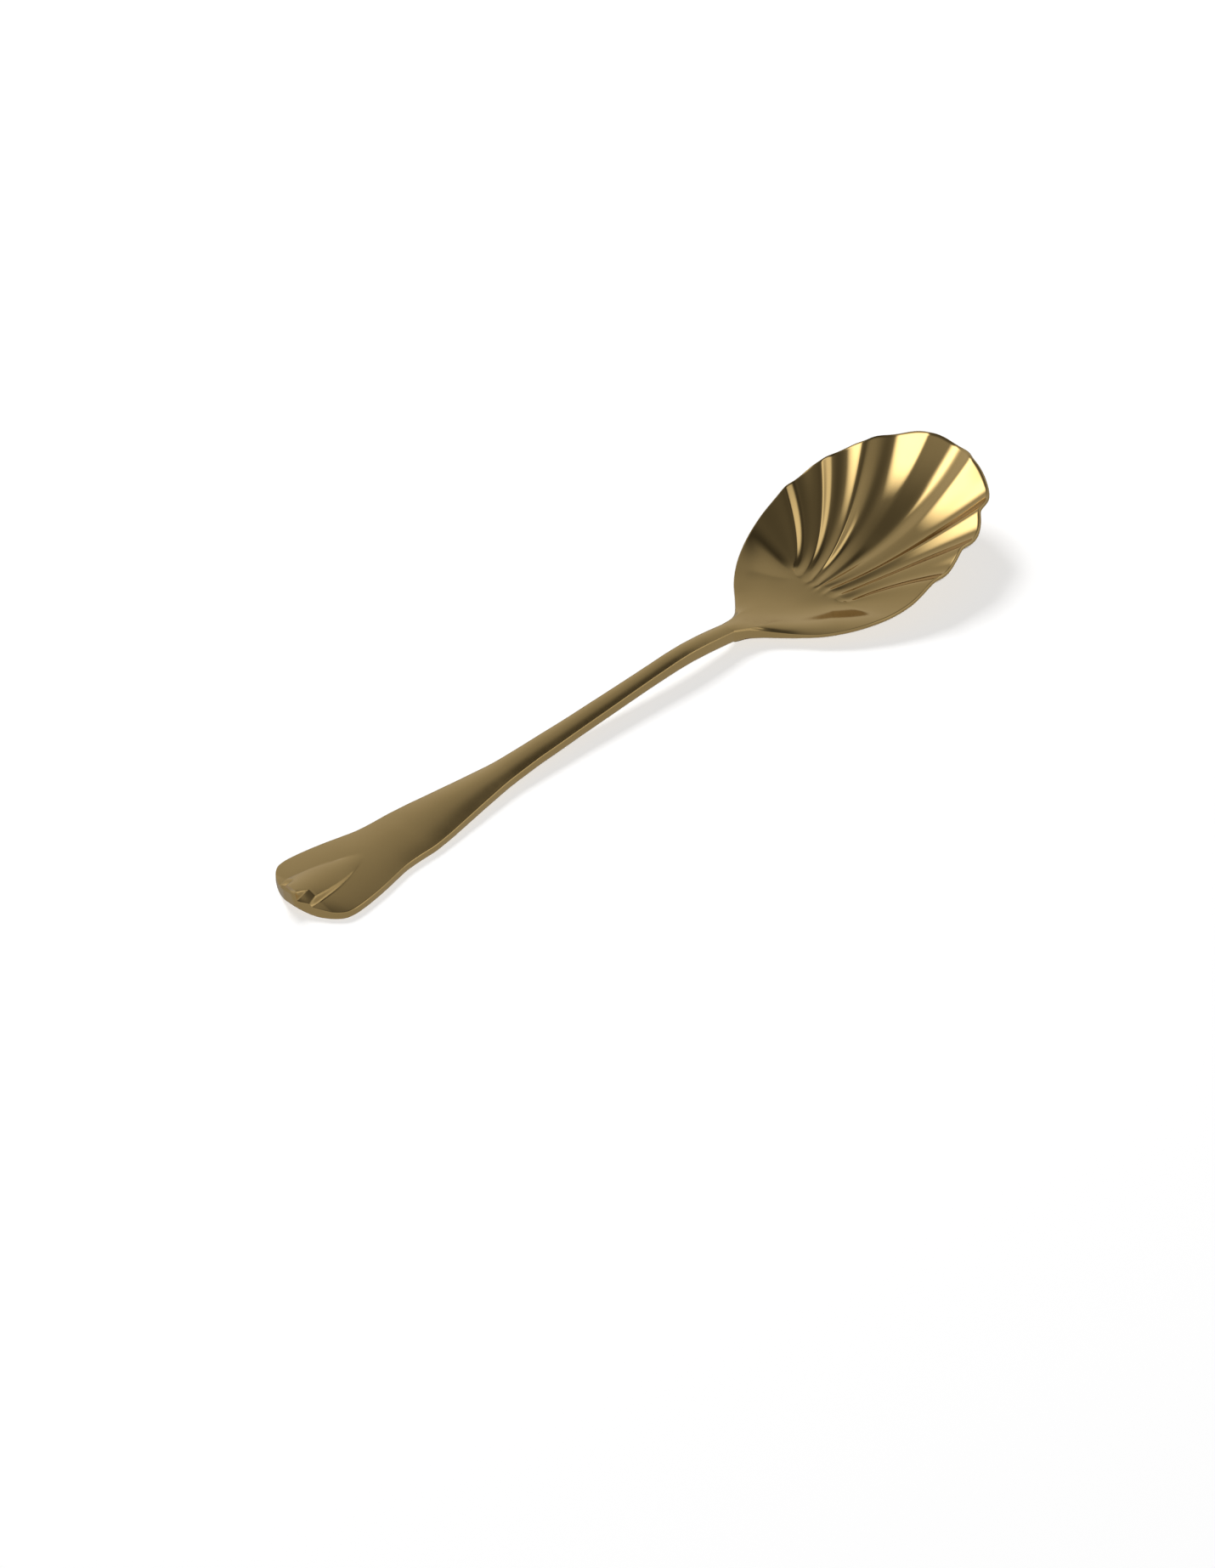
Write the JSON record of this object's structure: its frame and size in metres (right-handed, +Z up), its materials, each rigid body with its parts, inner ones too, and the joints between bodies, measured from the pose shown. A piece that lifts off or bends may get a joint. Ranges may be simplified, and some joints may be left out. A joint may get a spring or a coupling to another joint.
{
  "type": "spoon",
  "caption": "Serving spoon with a fluted shell bowl, a slender arched stem and a flared handle that ends in a raised tongue.",
  "frame": {"origin": "on the table, under the centre of the bounding box, with the spoon lying bowl up", "axes": "+X along the spoon from the handle's nose to the tip of the bowl, +Y to the spoon's left, +Z up"},
  "size_m": [0.2022, 0.0474, 0.02],
  "materials": {
    "polished_gold": "mirror polished, bronze-gold coating on stainless steel",
    "satin_gold": "satin, bronze-gold coating on stainless steel"
  },
  "bodies": {
    "root": {"bowl": "polished_gold", "stem": "satin_gold", "handle": "satin_gold"}
  },
  "joints": []
}
